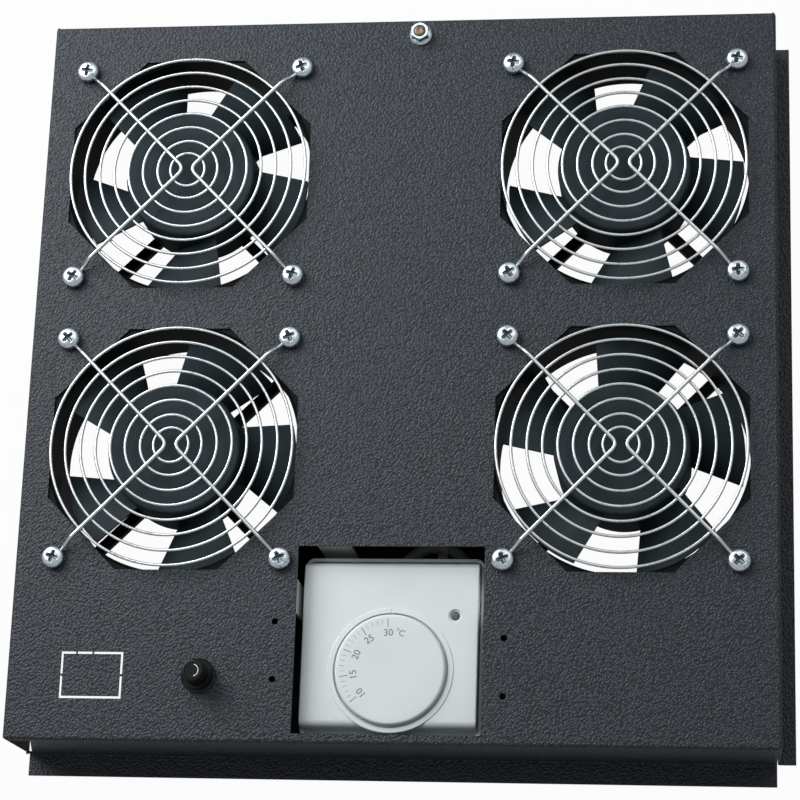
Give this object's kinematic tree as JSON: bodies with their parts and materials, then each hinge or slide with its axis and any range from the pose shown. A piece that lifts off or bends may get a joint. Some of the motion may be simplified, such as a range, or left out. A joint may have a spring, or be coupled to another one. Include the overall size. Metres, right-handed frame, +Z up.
{
  "type": "rack fan tray",
  "caption": "Cabinet roof fan tray: folded black sheet housing, axial fans under wire guards, recessed dial thermostat, fuse holder and earth stud.",
  "frame": {"origin": "centre of the tray's outline on the underside of its flanges", "axes": "+X to the right and +Y to the rear, seen from the thermostat's side; +Z up, out of the top plate"},
  "size_m": [0.361, 0.368, 0.0593],
  "materials": {
    "housing_coat": "black wrinkle powder coat",
    "fan_frame_black": "satin black",
    "impeller_plastic": "matt dark grey",
    "stator_steel": "bare laminations",
    "bearing_steel": "ground",
    "guard_chrome": "bright plated wire",
    "screw_zinc": "blue-white zinc plate",
    "stud_steel": "aged zinc plate",
    "thermostat_plastic": "light grey, fine satin",
    "dial_plastic": "light grey, fine satin",
    "regulator_plastic": "moulded",
    "lens_plastic": "smoked clear lens",
    "bracket_zinc": "zinc-plated sheet",
    "pan_black": "black coat",
    "cable_sheath": "grey sheath",
    "lead_insulation": "black insulation",
    "tie_nylon": "natural nylon",
    "fuse_plastic": "black moulding",
    "fuse_glass": "clear",
    "tag_brass": "plated brass",
    "block_nylon": "natural nylon"
  },
  "bodies": {
    "tray": {"housing": "housing_coat", "thermostat_base": "thermostat_plastic", "thermostat_cover": "thermostat_plastic", "thermostat_regulator": "regulator_plastic", "thermostat_lens": "lens_plastic", "thermostat_bracket": "bracket_zinc", "thermostat_screws": "screw_zinc", "thermostat_pan": "pan_black", "thermostat_cable": "cable_sheath", "cable_tie": "tie_nylon", "fuse_holder_body": "fuse_plastic", "fuse_holder_nut": "fuse_plastic", "fuse_tags": "tag_brass", "earth_stud": "stud_steel", "earth_nut": "screw_zinc", "terminal_block": "block_nylon", "terminal_screws": "tag_brass", "block_studs": "screw_zinc", "fan_1_frame": "fan_frame_black", "fan_1_stator": "stator_steel", "fan_1_bearings": "bearing_steel", "fan_1_guard": "guard_chrome", "fan_1_guard_screws": "screw_zinc", "fan_1_guard_nuts": "screw_zinc", "fan_1_lead": "lead_insulation", "fan_2_frame": "fan_frame_black", "fan_2_stator": "stator_steel", "fan_2_bearings": "bearing_steel", "fan_2_guard": "guard_chrome", "fan_2_guard_screws": "screw_zinc", "fan_2_guard_nuts": "screw_zinc", "fan_2_lead": "lead_insulation", "fan_3_frame": "fan_frame_black", "fan_3_stator": "stator_steel", "fan_3_bearings": "bearing_steel", "fan_3_guard": "guard_chrome", "fan_3_guard_screws": "screw_zinc", "fan_3_guard_nuts": "screw_zinc", "fan_3_lead": "lead_insulation", "fan_4_frame": "fan_frame_black", "fan_4_stator": "stator_steel", "fan_4_bearings": "bearing_steel", "fan_4_guard": "guard_chrome", "fan_4_guard_screws": "screw_zinc", "fan_4_guard_nuts": "screw_zinc", "fan_4_lead": "lead_insulation"},
    "fan_1_rotor": {"fan_1_impeller": "impeller_plastic", "fan_1_shaft": "bearing_steel"},
    "fan_2_rotor": {"fan_2_impeller": "impeller_plastic", "fan_2_shaft": "bearing_steel"},
    "fan_3_rotor": {"fan_3_impeller": "impeller_plastic", "fan_3_shaft": "bearing_steel"},
    "fan_4_rotor": {"fan_4_impeller": "impeller_plastic", "fan_4_shaft": "bearing_steel"},
    "dial": {"thermostat_dial": "dial_plastic", "thermostat_spindle": "dial_plastic"},
    "fuse_drawer": {"fuse_carrier": "fuse_plastic", "fuse_link": "fuse_glass"},
    "fuse_cap_body": {"fuse_cap": "fuse_plastic"}
  },
  "joints": [
    {"name": "fan_1_spin", "type": "hinge", "parent": "tray", "child": "fan_1_rotor", "pos_m": [-0.10304, 0.09717, 0.02], "axis": [0, 0, 1], "continuous": true},
    {"name": "fan_2_spin", "type": "hinge", "parent": "tray", "child": "fan_2_rotor", "pos_m": [0.10304, 0.09717, 0.02], "axis": [0, 0, 1], "continuous": true},
    {"name": "fan_3_spin", "type": "hinge", "parent": "tray", "child": "fan_3_rotor", "pos_m": [-0.10304, -0.03816, 0.02], "axis": [0, 0, 1], "continuous": true},
    {"name": "fan_4_spin", "type": "hinge", "parent": "tray", "child": "fan_4_rotor", "pos_m": [0.10304, -0.03816, 0.02], "axis": [0, 0, 1], "continuous": true},
    {"name": "dial_turn", "type": "hinge", "parent": "tray", "child": "dial", "pos_m": [0.0004, -0.1392, 0.0354], "axis": [0, 0, 1], "range_deg": [-131, 0]},
    {"name": "fuse_pull", "type": "slide", "parent": "tray", "child": "fuse_drawer", "axis": [0, 0, 1], "range_m": [0, 0.028]},
    {"name": "fuse_cap_turn", "type": "hinge", "parent": "fuse_drawer", "child": "fuse_cap_body", "pos_m": [-0.085, -0.1443, 0.05], "axis": [0, 0, 1], "range_deg": [0, 90]}
  ]
}
